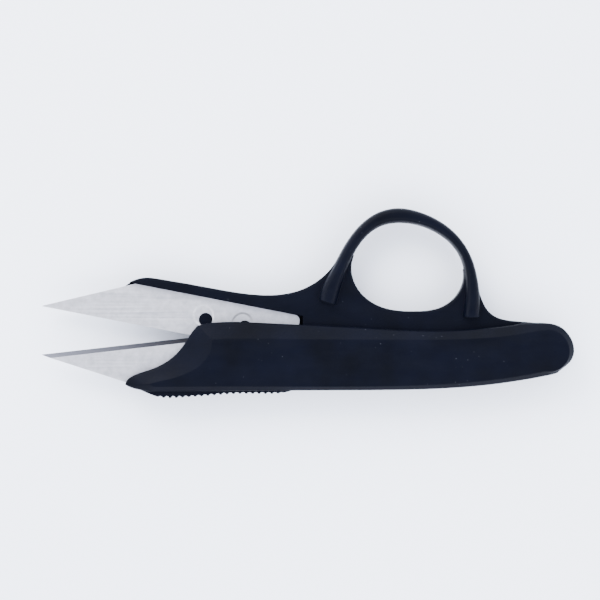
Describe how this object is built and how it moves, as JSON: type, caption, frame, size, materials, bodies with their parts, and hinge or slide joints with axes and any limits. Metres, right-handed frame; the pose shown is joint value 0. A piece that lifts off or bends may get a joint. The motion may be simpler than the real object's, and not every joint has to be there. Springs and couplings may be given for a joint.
{
  "type": "thread snips",
  "caption": "Squeeze-action thread snips: moulded casing with a fixed blade, spring-loaded lever with a finger ring and a second pointed blade, hinged at the rear.",
  "frame": {"origin": "on the lever's pivot axis, at the back face that the snips lie on", "axes": "-X forward to the blade tips, +Y to the finger ring, +Z out of the front face"},
  "size_m": [0.1198, 0.0428, 0.01],
  "materials": {
    "handle_nylon": "black glass-filled nylon, fine moulded satin",
    "blade_steel": "ground and tumbled stainless steel",
    "spring_steel": "drawn spring wire",
    "fastener_steel": "zinc-plated steel"
  },
  "bodies": {
    "handle": {"front_shell": "handle_nylon", "back_cover": "handle_nylon", "lower_blade": "blade_steel", "pivot_pin": "fastener_steel", "return_spring": "spring_steel", "cover_screw_front": "fastener_steel", "cover_screw_middle": "fastener_steel", "cover_screw_rear": "fastener_steel"},
    "lever": {"ring_lever": "handle_nylon", "upper_blade": "blade_steel"}
  },
  "joints": [
    {"name": "squeeze", "type": "hinge", "parent": "handle", "child": "lever", "pos_m": [0, 0, 0.005], "axis": [0, 0, 1], "range_deg": [0, 5.57], "stiffness_Nm_per_rad": 1.83, "springref_deg": -2.66, "deforming": ["return_spring"]}
  ]
}
